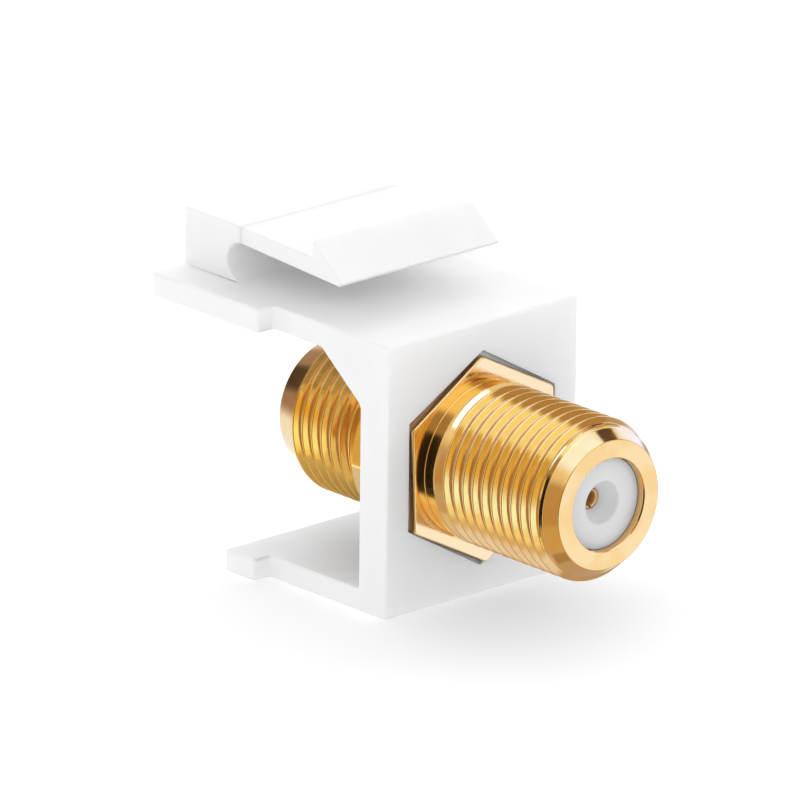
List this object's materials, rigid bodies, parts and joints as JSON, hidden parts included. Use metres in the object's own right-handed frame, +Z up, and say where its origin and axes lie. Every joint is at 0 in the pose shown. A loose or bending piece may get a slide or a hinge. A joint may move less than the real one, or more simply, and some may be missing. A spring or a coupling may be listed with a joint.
{
  "type": "coaxial coupler jack insert",
  "caption": "White C-shaped snap-in insert with a latch on top, clamping a gold-plated threaded coaxial coupler with a socket at each end.",
  "frame": {"origin": "on the resting plane of the base plate, under the middle of the overall box", "axes": "+X to the right seen from the front, -Y out of the front port along the coupler axis, +Y out of the rear port, +Z up through the latch"},
  "size_m": [0.0168, 0.0292, 0.0203],
  "materials": {
    "white_plastic": "white, satin moulded",
    "gold_plate": "polished gold plate on turned brass",
    "insulator_plastic": "off-white, matte",
    "contact_metal": "gold plated spring contact"
  },
  "bodies": {
    "insert": {"housing": "white_plastic", "coupler_body": "gold_plate", "lock_nut": "gold_plate", "front_insulator": "insulator_plastic", "rear_insulator": "insulator_plastic", "center_contact": "contact_metal"},
    "latch": {"latch_arm": "white_plastic"}
  },
  "joints": [
    {"name": "latch_press", "type": "hinge", "parent": "insert", "child": "latch", "pos_m": [0, 0.00971, 0.01855], "axis": [1, 0, 0], "range_deg": [0, 10], "stiffness_Nm_per_rad": 0.3}
  ]
}
